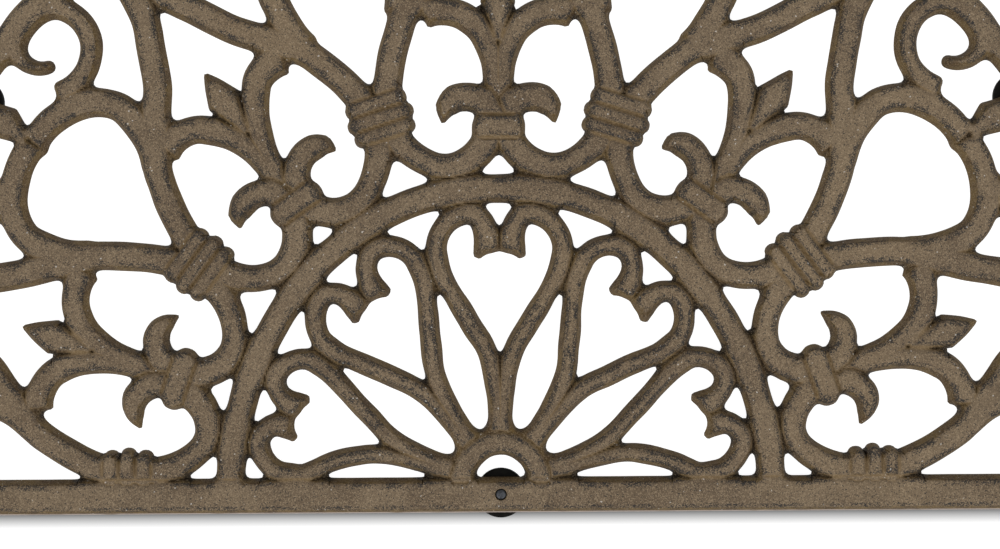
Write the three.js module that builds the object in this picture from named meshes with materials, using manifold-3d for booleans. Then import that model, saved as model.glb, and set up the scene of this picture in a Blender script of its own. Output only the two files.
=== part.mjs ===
// Half-round cast iron door mat: one openwork casting that stands on seven screwed rubber feet.
// Millimetres, +Z up. The mat lies flat, its straight bar towards -Y and its arched rim towards +Y.
// The plan is worked out from the middle of the small arch, just above the bar, and moved at the end.
import * as THREE from 'three';
import { mergeVertices } from 'three/addons/utils/BufferGeometryUtils.js';
import Module from 'manifold-3d';

const wasm = await Module();
wasm.setup();

// Plan of the casting, on the centre lines of its strokes
const archHalfWidth = 150.8;
const archRise = 169.2;
const ringDepth = 215.8;          // from the small arch out to the rim, square to both
const motifCount = 5;
const fanAngle = 178.2;           // degrees that the motifs share
const crownSqueeze = 0.05;        // the motifs' feet stand nearer the arch at its top by this share
const barStretch = 0.22;          // and further from it beside the bar
const slimBalloonShare = 0.8;     // the two middle balloon arches are slimmer than the others
const hubRadius = 20.9;
const hubHeight = 3.4;            // centre of the hub's half ring above the arch's middle
const bandOut = 0.242;            // joint bands and collars, from 0 on the arch to 1 on the rim
const collarOut = 0.16;

// Widths of the strokes at their foot
const archWidth = 16.3;
const rimWidth = 16.9;
const barWidth = 20;
const barDrop = 5.2;              // middle of the bar below the arch's middle
const hubWidth = 12.8;
const armWidth = 16.4;
const curveWidth = 14.2;
const sidePetalWidth = 13.6;
const tallPetalWidth = 16;
const heartWidth = 12;
const heartStemWidth = 10.4;
const scrollWidth = 13;
const scrollTipWidth = 7;
const scrollRadius = 24.2;

// Heights and section of the casting
const castThickness = 10;
const wallDraft = 2.6;            // each wall leans in by this much up to the top face
const leastTopShare = 0.4;        // narrow strokes keep this share of their width at the top
const ridgeWidth = 0.9;           // top of a leaf's ridge
const collarRise = 1;
const bandRise = 1.8;
const leafRise = 0.8;
const leafShoulderDrop = 0.5;     // both ends of a leaf's diamond, below the casting's top face
const leafTipDrop = 1.5;

// Joint bands, collars and leaves
const bandLength = 36;
const bandRibWidth = 9.6;
const bandRibPitch = 8.6;
const bandRibBulge = 1.4;         // the middle rib stands out this much further at each end
const collarLength = 35;
const collarWidth = 13.2;
const leafWidth = 20;
const endTaper = 2.6;             // ribs, collars and the bar round off over this length
const endDrop = 2;                // ribs and collars slope down there by this much
const endWidthShare = 0.55;       // and narrow to this share of their width

// Feet
const padDiameter = 28;
const padWeb = 1.8;               // rubber between the washer and the casting
const padBevel = 0.8;
const screwDiameter = 6;
const screwHeadDiameter = 10.5;
const screwHeadHeight = 1.8;
const washerDiameter = 14;
const washerThickness = 1;
const groundClearance = 0.5;      // screw head above the floor
const fitGap = 0.3;               // clearance at each seat and bore
const footDrop = 4.4;             // screws of the bar's feet below the arch's middle
const endFootInset = 17;          // from the mat's end to the last foot's screw
const rimFootInset = 7.5;         // screws of the rim's feet inside its centre line
const bossDiameter = 17;          // the leaf's tip swells to this round a rim foot's screw

// Fineness of the faceting
const chordTolerance = 0.8;
const finePoints = 160;
const archPoints = 36;
const hubPoints = 12;
const padSides = 16;
const smallSides = 12;

// Values that follow from these
const halfPitch = fanAngle / (2 * motifCount);
const recessDepth = groundClearance + screwHeadHeight + washerThickness + 2 * fitGap;
const padHeight = recessDepth + padWeb;
const padTop = padHeight - fitGap;
const halfWidth = archHalfWidth + ringDepth + rimWidth / 2;
const rimTop = archRise + ringDepth + rimWidth / 2;
const footLine = -footDrop - padDiameter / 2;
const barLine = -barDrop - barWidth / 2;
const planMiddle = (rimTop + Math.min(footLine, barLine)) / 2;
const fuseLine = barWidth / 2 - barDrop - wallDraft;

// Radius of the small arch, an ellipse, at an angle in degrees from the mat's middle line.
function archRadius(angle) {
  const turn = THREE.MathUtils.degToRad(angle);
  return 1 / Math.hypot(Math.sin(turn) / archHalfWidth, Math.cos(turn) / archRise);
}

function polar(radius, angle) {
  const turn = THREE.MathUtils.degToRad(angle);
  return new THREE.Vector2(radius * Math.sin(turn), radius * Math.cos(turn));
}

// A place between the arch and the rim: across is 0 on a motif's axis and 1 on the joint line
// beside it, out is 0 on the arch and 1 on the rim. Side is 1 or -1, the half of the motif.
function ringPlace(axis, side, [across, out]) {
  const angle = axis + side * across * halfPitch;
  const towardsBar = Math.sin(THREE.MathUtils.degToRad(angle)) ** 4;
  const swell = barStretch * towardsBar - crownSqueeze;
  return polar(archRadius(angle) + out * (1 + swell * (1 - out)) * ringDepth, angle);
}

// A place inside the arch, where out is 0 in the middle and 1 on the arch.
function heartPlace(axis, side, [across, out]) {
  const angle = axis + side * across * halfPitch;
  return polar(archRadius(angle) * out, angle);
}

// Value of a list spread evenly over the curve's points, at a share of the way along it.
function along(values, share) {
  if (typeof values === 'number') {
    return values;
  }
  const step = share * (values.length - 1);
  const before = Math.min(Math.floor(step), values.length - 2);
  return THREE.MathUtils.lerp(values[before], values[before + 1], step - before);
}

// Keeps the stations between first and last that both edges need to stay within the tolerance.
function pickStations(stations, first, last, kept) {
  let worst = chordTolerance;
  let split = -1;
  for (let at = first + 1; at < last; at += 1) {
    for (const edge of ['left', 'right']) {
      const chord = new THREE.Line3(stations[first][edge], stations[last][edge]);
      const nearest = chord.closestPointToPoint(stations[at][edge], true, new THREE.Vector3());
      const away = nearest.distanceTo(stations[at][edge]);
      if (away > worst) {
        worst = away;
        split = at;
      }
    }
  }
  if (split > 0) {
    pickStations(stations, first, split, kept);
    kept.push(stations[split]);
    pickStations(stations, split, last, kept);
  }
}

// Section of a cast stroke at one station, from the left foot round to the left edge of its top.
function castSection(width, height, ridged) {
  const half = width / 2;
  const least = half * leastTopShare;
  const halfTop = ridged ? Math.min(ridgeWidth / 2, least) : Math.max(half - wallDraft, least);
  return [[half, 0], [-half, 0], [-halfTop, height], [halfTop, height]];
}

// One stroke of the casting: the section swept along a smooth line through points of the plan.
// Widths and heights are numbers, or lists with one value for each point.
function stroke(points, widths, heights = castThickness, ridged = false) {
  const curve = new THREE.CatmullRomCurve3(
    points.map((point) => new THREE.Vector3(point.x, point.y, 0)),
    false,
    'centripetal',
  );
  const stations = [];
  for (let step = 0; step <= finePoints; step += 1) {
    const share = step / finePoints;
    const centre = curve.getPoint(share);
    const ahead = curve.getTangent(share);
    const leftward = new THREE.Vector3(-ahead.y, ahead.x, 0);
    const width = along(widths, share);
    stations.push({
      centre,
      leftward,
      section: castSection(width, along(heights, share), ridged),
      left: centre.clone().addScaledVector(leftward, width / 2),
      right: centre.clone().addScaledVector(leftward, -width / 2),
    });
  }
  const kept = [stations[0]];
  pickStations(stations, 0, finePoints, kept);
  kept.push(stations[finePoints]);
  return loft(kept.map(({ centre, leftward, section }) => section.map(
    ([across, height]) => centre.clone().addScaledVector(leftward, across).setZ(height),
  )));
}

// Closed solid through a row of sections with the same number of points, as a manifold solid.
function loft(rings) {
  const sides = rings[0].length;
  const positions = rings.flat().flatMap((point) => [point.x, point.y, point.z]);
  const faces = [];
  for (let ring = 0; ring < rings.length - 1; ring += 1) {
    for (let side = 0; side < sides; side += 1) {
      const here = ring * sides + side;
      const beside = ring * sides + ((side + 1) % sides);
      faces.push([here, here + sides, beside + sides], [here, beside + sides, beside]);
    }
  }
  const lastRing = (rings.length - 1) * sides;
  for (let side = 1; side < sides - 1; side += 1) {
    faces.push([0, side, side + 1], [lastRing, lastRing + side + 1, lastRing + side]);
  }
  return new wasm.Manifold(new wasm.Mesh({
    numProp: 3,
    vertProperties: new Float32Array(positions),
    triVerts: new Uint32Array(faces.flat()),
  }));
}

// A three.js geometry as a manifold solid.
function toSolid(geometry) {
  const bare = geometry.clone();
  bare.deleteAttribute('normal');
  bare.deleteAttribute('uv');
  const merged = mergeVertices(bare);
  return new wasm.Manifold(new wasm.Mesh({
    numProp: 3,
    vertProperties: new Float32Array(merged.attributes.position.array),
    triVerts: new Uint32Array(merged.index.array),
  }));
}

// A manifold solid as a three.js geometry.
function toGeometry(solid) {
  const mesh = solid.getMesh();
  const geometry = new THREE.BufferGeometry();
  geometry.setAttribute('position', new THREE.BufferAttribute(mesh.vertProperties, 3));
  geometry.setIndex(new THREE.BufferAttribute(mesh.triVerts, 1));
  geometry.computeVertexNormals();
  return geometry;
}

const join = (solids) => solids.reduce((whole, solid) => whole.add(solid));

// Strokes of one motif between the arch and the rim, as places across and out.
// From under the collar the curve swings down to the arch and up to the joint band, and the arm
// runs on from there to the tip of the pointed arch and the rim.
const curve = [
  [0.06, 0.175], [0.14, 0.13], [0.223, 0.099], [0.335, 0.0755], [0.475, 0.066], [0.615, 0.0755],
  [0.754, 0.109], [0.855, 0.156], [0.9, 0.2],
];
const arm = [
  [0.91, 0.25], [0.9, 0.3], [0.855, 0.345], [0.79, 0.395], [0.715, 0.445], [0.655, 0.482],
  [0.55, 0.525], [0.42, 0.578], [0.318, 0.625], [0.24, 0.677], [0.173, 0.729], [0.108, 0.781],
  [0.072, 0.833], [0.056, 0.885], [0.062, 0.94], [0.08, 1],
];
const curveAndArmWidths = [...curve.map(() => curveWidth), ...arm.map(() => armWidth)];

// The balloon arch leaves the arm and closes over the joint band.
const balloon = [
  [0.575, 0.5], [0.535, 0.56], [0.517, 0.615], [0.52, 0.662], [0.563, 0.7], [0.635, 0.733],
  [0.74, 0.76], [0.86, 0.777], [1, 0.782],
];

// Petals rise from the collar, the side ones curling over and the tall ones closing the flower.
const sidePetal = [
  [0.03, 0.165], [0.134, 0.234], [0.257, 0.257], [0.365, 0.254], [0.45, 0.237], [0.503, 0.208],
];
const sidePetalWidths = [0.9, 1, 1, 1, 0.8, 0.18].map((share) => share * sidePetalWidth);
const tallPetal = [
  [0.03, 0.165], [0.034, 0.286], [0.042, 0.339], [0.083, 0.39], [0.122, 0.42], [0.19, 0.45],
  [0.26, 0.47], [0.34, 0.482], [0.43, 0.486], [0.51, 0.48],
];
const tallPetalShares = [0.63, 0.67, 0.78, 0.88, 0.94, 1, 1, 1, 1, 0.95];
const tallPetalWidths = tallPetalShares.map((share) => share * tallPetalWidth);

// Leaves: one stands in each flower, one on each balloon arch.
const flowerLeaf = [[0, 0.38], [0, 0.44], [0, 0.495], [0, 0.545], [0, 0.58]];
const crownLeaf = [[0, 0.79], [0, 0.83], [0, 0.872], [0, 0.94], [0, 1]];
const leafWidths = [0.25, 0.64, 1, 0.52, 0.08].map((share) => share * leafWidth);
const leafRises = [-leafShoulderDrop, leafRise, leafRise, -leafShoulderDrop, -leafTipDrop];
const leafHeights = leafRises.map((rise) => castThickness + rise);

// One side of a heart, from the end of its curl round the lobe and down to the hub.
const heartLobe = [
  [0.225, 0.783], [0.188, 0.805], [0.173, 0.837], [0.223, 0.877], [0.324, 0.909], [0.447, 0.92],
  [0.615, 0.905], [0.754, 0.87], [0.832, 0.831], [0.85, 0.791], [0.816, 0.748],
];
const heartStem = [
  [0.743, 0.698], [0.648, 0.641], [0.547, 0.591], [0.447, 0.538], [0.352, 0.488], [0.291, 0.439],
  [0.263, 0.389], [0.246, 0.332], [0.24, 0.18],
];
const heartWidths = [...heartLobe.map(() => heartWidth), ...heartStem.map(() => heartStemWidth)];

// Scroll between a balloon arch and the rim, wound about its eye, with its radius at each turn.
const scrollEye = [0.564, 0.904];
const scrollTurns = [-35, -10, 20, 55, 90, 125, 160, 190, 220, 250, 280, 310, 335];
const scrollShares = [1.08, 1.02, 1, 1, 1, 0.98, 0.93, 0.86, 0.76, 0.65, 0.53, 0.43, 0.36];
const scrollTaperShare = 0.93;    // the scroll thins towards its tip from this radius share on

function leaf(axis, list) {
  return stroke(list.map((place) => ringPlace(axis, 1, place)), leafWidths, leafHeights, true);
}

// Degrees are counted from the way in to the arch's middle, turning towards the motif's axis.
function scroll(axis, side) {
  const eyeAngle = axis + side * scrollEye[0] * halfPitch;
  const eye = ringPlace(axis, side, scrollEye);
  const points = scrollTurns.map((turn, place) => {
    const ray = polar(scrollRadius * scrollShares[place], eyeAngle + 180 + side * turn);
    return eye.clone().add(ray);
  });
  const widths = scrollShares.map((share) => THREE.MathUtils.mapLinear(
    Math.min(share, scrollTaperShare),
    scrollShares.at(-1), scrollTaperShare, scrollTipWidth, scrollWidth,
  ));
  return stroke(points, widths);
}

// A short rib across a line of the plan, rounded off at both ends.
function crossRib(axis, out, length, width, rise) {
  const middle = ringPlace(axis, 1, [0, out]);
  const sideways = polar(1, axis + 90);
  const half = length / 2;
  const places = [-half, endTaper - half, 0, half - endTaper, half];
  const points = places.map((place) => middle.clone().addScaledVector(sideways, place));
  const top = castThickness + rise;
  const widths = [endWidthShare, 1, 1, 1, endWidthShare].map((share) => share * width);
  return stroke(points, widths, [top - endDrop, top, top, top, top - endDrop]);
}

// Three ribs bind the two curves where motifs meet.
function jointBand(axis) {
  return join([-1, 0, 1].map((place) => crossRib(
    axis,
    bandOut + (place * bandRibPitch) / ringDepth,
    bandLength + (place === 0 ? 2 * bandRibBulge : 0),
    bandRibWidth,
    bandRise,
  )));
}

// One fifth of the pattern: a leaf in a flower under a pointed arch, and the heart beneath.
function motif(axis) {
  const halves = [1, -1].flatMap((side) => {
    const places = (list) => list.map((place) => ringPlace(axis, side, place));
    const slimness = Math.abs(axis + side * halfPitch) < 2 * halfPitch ? slimBalloonShare : 1;
    return [
      stroke(places([...curve, ...arm]), curveAndArmWidths),
      stroke(places(balloon.map(([across, out]) => [1 - slimness * (1 - across), out])), armWidth),
      stroke(places(sidePetal), sidePetalWidths),
      stroke(places(tallPetal), tallPetalWidths),
      scroll(axis, side),
      stroke([...heartLobe, ...heartStem].map((place) => heartPlace(axis, side, place)), heartWidths),
    ];
  });
  const collar = crossRib(axis, collarOut, collarLength, collarWidth, collarRise);
  return join([leaf(axis, flowerLeaf), collar, ...halves]);
}

// Points of a half turn round the plan's middle, from the bar's left end over the top.
function halfTurn(steps, radiusAt) {
  return Array.from({ length: steps + 1 }, (_, step) => {
    const angle = -90 + (180 * step) / steps;
    return polar(radiusAt(angle), angle);
  });
}

function buildCasting() {
  const firstAxis = -halfPitch * (motifCount - 1);
  const axes = Array.from({ length: motifCount }, (_, count) => firstAxis + 2 * halfPitch * count);
  const joints = [firstAxis - halfPitch, ...axes.map((axis) => axis + halfPitch)];
  const hubMiddle = new THREE.Vector2(0, hubHeight);
  const hubLine = halfTurn(hubPoints, () => hubRadius).map((point) => point.add(hubMiddle));
  const boss = new THREE.CylinderGeometry(
    bossDiameter / 2 - wallDraft, bossDiameter / 2, castThickness, padSides,
  ).rotateX(Math.PI / 2);
  const fan = join([
    stroke(halfTurn(archPoints, archRadius), archWidth),
    stroke(halfTurn(archPoints, (angle) => archRadius(angle) + ringDepth), rimWidth),
    stroke(hubLine, hubWidth),
    ...rimFootPlaces().map(({ x, y }) => toSolid(boss.clone().translate(x, y, castThickness / 2))),
    ...axes.map(motif),
    ...joints.map(jointBand),
    ...joints.slice(1, -1).map((axis) => leaf(axis, crownLeaf)),
  ]);
  const below = new THREE.BoxGeometry(3 * halfWidth, halfWidth, 4 * castThickness);
  below.translate(0, fuseLine - halfWidth / 2, castThickness);
  const barEnds = [-halfWidth, endTaper - halfWidth, 0, halfWidth - endTaper, halfWidth];
  const bar = stroke(
    barEnds.map((x) => new THREE.Vector2(x, -barDrop)),
    [barWidth - 2 * endTaper, barWidth, barWidth, barWidth, barWidth - 2 * endTaper],
  );
  const whole = fan.subtract(toSolid(below)).add(bar);
  const holeRadius = screwDiameter / 2 + fitGap;
  const hole = new THREE.CylinderGeometry(holeRadius, holeRadius, 4 * castThickness, smallSides);
  hole.rotateX(Math.PI / 2);
  return footPlaces().reduce((solid, { x, y }) => {
    const bore = hole.clone().translate(x, y, castThickness / 2);
    return solid.subtract(toSolid(bore));
  }, whole);
}

// Screw centres under the rim, on the joint lines between the motifs.
function rimFootPlaces() {
  return [-3, -1, 1, 3].map((count) => ringPlace(0, 1, [count, 1 - rimFootInset / ringDepth]));
}

// All screw centres: the bar's left end, middle and right end, then the rim's from left to right.
function footPlaces() {
  const endX = halfWidth - endFootInset;
  return [...[-endX, 0, endX].map((x) => new THREE.Vector2(x, -footDrop)), ...rimFootPlaces()];
}

// Rubber pad with the recess that hides the washer and the screw head.
function padGeometry() {
  const bore = screwDiameter / 2 + fitGap;
  const recess = washerDiameter / 2 + fitGap;
  const outer = padDiameter / 2;
  const profile = [
    [bore, recessDepth], [recess, recessDepth], [recess, 0], [outer - padBevel, 0], [outer, padBevel],
    [outer, padTop], [bore, padTop], [bore, recessDepth],
  ];
  return lathe(profile, padSides);
}

function washerGeometry() {
  const bore = screwDiameter / 2 + fitGap;
  const bottom = groundClearance + screwHeadHeight + fitGap;
  const top = bottom + washerThickness;
  const outer = washerDiameter / 2;
  return lathe([[bore, bottom], [outer, bottom], [outer, top], [bore, top], [bore, bottom]], smallSides);
}

// Screw driven up from below, its end level with the bar's top face.
function screwGeometry() {
  const shank = screwDiameter / 2;
  const head = screwHeadDiameter / 2;
  const seat = groundClearance + screwHeadHeight;
  const tip = padHeight + castThickness;
  const profile = [
    [0, groundClearance], [head, groundClearance], [head, seat], [shank, seat], [shank, tip], [0, tip],
  ];
  return lathe(profile, smallSides);
}

function lathe(profile, sides) {
  const geometry = new THREE.LatheGeometry(profile.map(([r, z]) => new THREE.Vector2(r, z)), sides);
  return geometry.rotateX(Math.PI / 2);
}

const castIron = new THREE.MeshStandardMaterial({ color: 0x6b5d4b, roughness: 0.78, metalness: 0.35 });
const rubber = new THREE.MeshStandardMaterial({ color: 0x161616, roughness: 0.85, metalness: 0 });
const steel = new THREE.MeshStandardMaterial({ color: 0x3a3d42, roughness: 0.5, metalness: 0.9 });

const mat = new THREE.Group();
mat.position.set(0, -planMiddle, 0);

function addPiece(name, geometry, material, { x, y }, z = 0) {
  const piece = new THREE.Mesh(geometry, material);
  piece.name = name;
  piece.position.set(x, y, z);
  mat.add(piece);
}

addPiece('openwork_casting', toGeometry(buildCasting()), castIron, { x: 0, y: 0 }, padHeight);
const footNames = [
  'bar_left', 'bar_middle', 'bar_right', 'rim_left', 'rim_top_left', 'rim_top_right', 'rim_right',
];
footPlaces().forEach((place, count) => {
  addPiece(`foot_pad_${footNames[count]}`, padGeometry(), rubber, place);
  addPiece(`foot_washer_${footNames[count]}`, washerGeometry(), steel, place);
  addPiece(`foot_screw_${footNames[count]}`, screwGeometry(), steel, place);
});

export default mat;
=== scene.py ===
import math

import bpy
import numpy as np
from mathutils import Matrix, Vector
from mathutils.geometry import delaunay_2d_cdt


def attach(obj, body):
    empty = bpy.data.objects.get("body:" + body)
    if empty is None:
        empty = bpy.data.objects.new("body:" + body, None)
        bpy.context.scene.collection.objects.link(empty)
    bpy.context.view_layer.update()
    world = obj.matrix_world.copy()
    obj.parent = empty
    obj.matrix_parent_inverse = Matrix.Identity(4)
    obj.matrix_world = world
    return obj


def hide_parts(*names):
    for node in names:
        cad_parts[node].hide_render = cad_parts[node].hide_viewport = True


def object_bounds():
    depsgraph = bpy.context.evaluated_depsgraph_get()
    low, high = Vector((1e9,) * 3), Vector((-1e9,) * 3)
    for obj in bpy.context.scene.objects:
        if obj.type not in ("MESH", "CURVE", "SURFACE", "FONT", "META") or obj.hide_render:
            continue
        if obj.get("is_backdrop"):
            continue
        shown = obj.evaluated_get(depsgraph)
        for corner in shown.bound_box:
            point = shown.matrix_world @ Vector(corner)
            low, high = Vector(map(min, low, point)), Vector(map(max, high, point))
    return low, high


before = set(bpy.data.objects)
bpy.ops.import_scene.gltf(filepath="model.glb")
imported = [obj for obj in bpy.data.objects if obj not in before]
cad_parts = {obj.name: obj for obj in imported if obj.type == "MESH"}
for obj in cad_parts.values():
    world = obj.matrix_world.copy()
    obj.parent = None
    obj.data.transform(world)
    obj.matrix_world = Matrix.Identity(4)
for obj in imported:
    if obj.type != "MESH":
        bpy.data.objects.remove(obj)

cad_low, cad_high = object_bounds()
scene = bpy.context.scene
scene.view_settings.view_transform = "Standard"


# Camera
# It looks straight down on the small arch and the bar, from 1.3 m, as the photograph does.
# The mat lies turned by a third of a degree in the frame.
MM = 0.001
MM_PER_PIXEL = 0.562
PIXELS_ACROSS = 1000
VIEW_WIDTH = PIXELS_ACROSS * MM_PER_PIXEL * MM
VIEW_HEIGHT_MM = 10.7             # the scale holds half way up the casting
VIEW_MIDDLE = (0.22, 118.86)      # in plan, in millimetres from the small arch's middle
SENSOR_WIDTH = 36
CAMERA_DISTANCE = 1.3
CAMERA_TURN = math.radians(0.35)
PLAN_MIDDLE = 187.525             # the arch's middle lies this far towards -Y of the origin

camera_data = bpy.data.cameras.new("camera")
camera_data.sensor_width = SENSOR_WIDTH
camera_data.lens = SENSOR_WIDTH * CAMERA_DISTANCE / VIEW_WIDTH
camera_data.clip_end = 20
camera = bpy.data.objects.new("camera", camera_data)
camera.matrix_world = (
    Matrix.Translation((VIEW_MIDDLE[0] * MM, (VIEW_MIDDLE[1] - PLAN_MIDDLE) * MM,
                        CAMERA_DISTANCE + VIEW_HEIGHT_MM * MM))
    @ Matrix.Rotation(-CAMERA_TURN, 4, "Z")
)
scene.collection.objects.link(camera)
scene.camera = camera


# Light and floor
# Two broad soft lamps stand left and right of the mat, a little on the bar's side, the left one
# stronger, and a bright room fills the rest. The floor is a plain sheet that glows to the eye, so
# that it shows white; the sheet itself is greyer and keeps the mat's shadow.
def linear(code):
    """Linear colour of an sRGB hex code: each channel to the power that undoes the screen's curve."""
    channels = [int(code[i:i + 2], 16) / 255 for i in (1, 3, 5)]
    return [*(c / 12.92 if c <= 0.04045 else ((c + 0.055) / 1.055) ** 2.4 for c in channels), 1]


def node(tree, kind, settings=None, links=None, output=0):
    """Adds one shader node and gives its output of a number or name. Settings are its attributes
    or, where it has none of the name, the values of its inputs. Links give another node's output
    for each named or numbered input."""
    made = tree.nodes.new("ShaderNode" + kind)
    for key, value in (settings or {}).items():
        if isinstance(key, str) and hasattr(made, key):
            setattr(made, key, value)
        else:
            made.inputs[key].default_value = value
    for key, socket in (links or {}).items():
        tree.links.new(socket, made.inputs[key])
    return made.outputs[output]


def new_material(name):
    """A material with an empty node tree and its output node."""
    material = bpy.data.materials.new(name)
    material.use_nodes = True
    material.node_tree.nodes.clear()
    return material, material.node_tree, material.node_tree.nodes.new("ShaderNodeOutputMaterial")


WORLD_LIGHT = 0.62
LAMP_SPREAD = math.radians(40)
LAMPS = [("left", 0.24, Vector((-0.95, -0.56, 1))),    # share of full daylight on a level face
         ("right", 0.2, Vector((0.95, -0.6, 1)))]
FLOOR_REACH = 4
FRONT_EDGE = -0.2030              # the bar's front edge
# The glow grows from 0 at the first value, in metres from that edge, to its most at the second:
# in front, and under the mat, so that its openings show white; there it is painted light over the
# mat's shadows. The narrow band between them keeps the bar's shadow, the glow's rise in front
# paints how that shadow fades, and the band runs on beside the mat, outside the camera's view.
GLOWS = [(-0.0007, -0.009, 0.85), (0, 0.013, 0.96)]

world = bpy.data.worlds.new("room")
world.use_nodes = True
world.node_tree.nodes["Background"].inputs["Color"].default_value = (1, 1, 1, 1)
world.node_tree.nodes["Background"].inputs["Strength"].default_value = WORLD_LIGHT
scene.world = world

for name, light, source in LAMPS:
    lamp_data = bpy.data.lights.new("lamp_" + name, "SUN")
    lamp_data.energy = light * math.pi * source.length / source.z
    lamp_data.angle = LAMP_SPREAD
    lamp = bpy.data.objects.new("lamp_" + name, lamp_data)
    lamp.matrix_world = source.to_track_quat("Z", "Y").to_matrix().to_4x4()
    scene.collection.objects.link(lamp)

floor_mesh = bpy.data.meshes.new("floor")
floor_corners = [(FLOOR_REACH * x, FLOOR_REACH * y, 0) for x, y in ((-1, -1), (1, -1), (1, 1), (-1, 1))]
floor_mesh.from_pydata(floor_corners, [], [(0, 1, 2, 3)])
floor = bpy.data.objects.new("floor", floor_mesh)
paper, tree, out = new_material("white_paper")
coordinates = node(tree, "TexCoord", output="Object")
forward = node(tree, "SeparateXYZ", links={0: coordinates}, output="Y")
glows = [node(tree, "MapRange", {
    "From Min": FRONT_EDGE + start, "From Max": FRONT_EDGE + end, "To Min": 0.0, "To Max": most},
    {"Value": forward}) for start, end, most in GLOWS]
glow = node(tree, "Math", {"operation": "ADD"}, {0: glows[0], 1: glows[1]})
sheet = node(tree, "BsdfDiffuse", {"Color": linear("#949494")})
shine = node(tree, "Emission", {"Color": (1, 1, 1, 1)}, {"Strength": glow})
glowing = node(tree, "AddShader", links={0: sheet, 1: shine})
seen = node(tree, "LightPath", output="Is Camera Ray")
for ray in ("Is Glossy Ray", "Is Transmission Ray"):
    seen = node(tree, "Math", {"operation": "MAXIMUM"},
                {0: seen, 1: node(tree, "LightPath", output=ray)})
tree.links.new(node(tree, "MixShader", links={0: seen, 1: sheet, 2: glowing}),
               out.inputs["Surface"])
floor_mesh.materials.append(paper)
scene.collection.objects.link(floor)
floor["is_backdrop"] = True


# The casting: its pattern
# One grey iron casting, poured in sand: flat strokes 10 mm thick on a drawn pattern, with
# walls that lean in so that the pattern lifts out. Lines are in millimetres about the middle of
# the small arch. They are the solid's, and some are moved by up to 4 mm to follow the photograph.
ARCH_HALF_WIDTH = 150.8           # the small arch, to the middle of its stroke
ARCH_RISE = 169.2
ARCH_WIDTH = 16.3
CROWN_DIP, CROWN_REACH = 1.7, 15  # it is this much flatter within these degrees of its crown,
LEG_SPREAD, LEG_REACH = 1.5, 16   # and this much wider within these degrees of the bar
RING_DEPTH = 215.8                # from the small arch to the rim
MOTIFS = 5
HALF_PITCH = 178.2 / (2 * MOTIFS)     # degrees from a motif's axis to its joint line
CROWN_SQUEEZE = 0.05              # the motifs are this much shallower at the top
BAR_STRETCH = 0.22                # and this much deeper beside the bar
RIM_WIDTH = 16.9
HALF_WIDTH = ARCH_HALF_WIDTH + RING_DEPTH + RIM_WIDTH / 2
BAR_WIDTH = 20
BAR_DROP = 5.2                    # the bar's middle line lies this far below the arch's middle
BAR_END = 2.6                     # its corners are cut by this much
BAR_HEIGHT = 9.5
CAST = 10                         # thickness of a stroke
FUSE_LINE = 2.2                   # the strokes of the fan end here, in the bar's upper edge
SAMPLE_STEP = 2.2                 # between the points that a stroke is drawn through
FEWEST_SAMPLES, MOST_SAMPLES = 10, 200

strokes = []


def arch_radius(angle):
    """Radius of the small arch, an ellipse, at angles in degrees from the mat's middle line."""
    turn = np.radians(angle)
    return 1 / np.hypot(np.sin(turn) / ARCH_HALF_WIDTH, np.cos(turn) / ARCH_RISE)


def polar(radius, angle):
    """Points of the plan at a radius and an angle in degrees, turning from +Y to +X."""
    turn = np.radians(angle)
    return np.stack([radius * np.sin(turn), radius * np.cos(turn)], -1)


def ring_place(axis, side, places):
    """Points between arch and rim. Across runs from a motif's axis, 0, to its joint line, 1, and
    out from the arch, 0, to the rim, 1: the radius is the arch's plus out times the depth. Between
    arch and rim it swells by the fourth power of the angle's sine, so most beside the bar."""
    across, out_share = np.array(places, float).T
    angle = axis + side * across * HALF_PITCH
    swell = BAR_STRETCH * np.sin(np.radians(angle)) ** 4 - CROWN_SQUEEZE
    return polar(arch_radius(angle) + out_share * (1 + swell * (1 - out_share)) * RING_DEPTH, angle)


def heart_place(axis, side, places):
    """Points inside the arch, where out is a share of the arch's radius."""
    across, out_share = np.array(places, float).T
    angle = axis + side * across * HALF_PITCH
    return polar(arch_radius(angle) * out_share, angle)


def smooth_line(points, places):
    """Centripetal Catmull-Rom curve through points, at places counted in points from the first.
    Each span is the Hermite cubic of its two points and the tangents that the roots of the
    distances to the next points give."""
    points = np.asarray(points, float)
    ends = [2 * points[0] - points[1]], [2 * points[-1] - points[-2]]
    chain = np.concatenate([ends[0], points, ends[1]])
    span = np.minimum(places.astype(int), len(points) - 2)
    share = (places - span)[:, None]
    p0, p1, p2, p3 = (chain[span + i] for i in range(4))
    d0, d1, d2 = (np.sqrt(np.linalg.norm(b - a, axis=1))[:, None]
                  for a, b in ((p0, p1), (p1, p2), (p2, p3)))
    leave = ((p1 - p0) / d0 - (p2 - p0) / (d0 + d1) + (p2 - p1) / d1) * d1
    reach = ((p2 - p1) / d1 - (p3 - p1) / (d1 + d2) + (p3 - p2) / d2) * d1
    cubic = 2 * p1 - 2 * p2 + leave + reach
    square = -3 * p1 + 3 * p2 - 2 * leave - reach
    return p1 + share * (leave + share * (square + share * cubic))


def add_stroke(points, width, height=CAST, kind="flat", corner=1.0, cut=True):
    """Notes one stroke: a smooth line with a width and a height at each of its points.
    Corner rounds its two cut ends, and cut ends it at the bar."""
    length = np.linalg.norm(np.diff(points, axis=0), axis=1).sum()
    count = int(np.clip(length / SAMPLE_STEP, FEWEST_SAMPLES, MOST_SAMPLES))
    places = np.linspace(0, len(points) - 1, count)
    order = np.arange(len(points))
    line = smooth_line(points, places)
    strokes.append({
        "line": line,
        "along": np.append(0, np.cumsum(np.linalg.norm(np.diff(line, axis=0), axis=1))),
        "half": np.interp(places, order, np.broadcast_to(width, len(points))) / 2,
        "height": np.interp(places, order, np.broadcast_to(height, len(points))),
        "kind": kind, "corner": corner, "cut": cut,
    })


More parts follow.
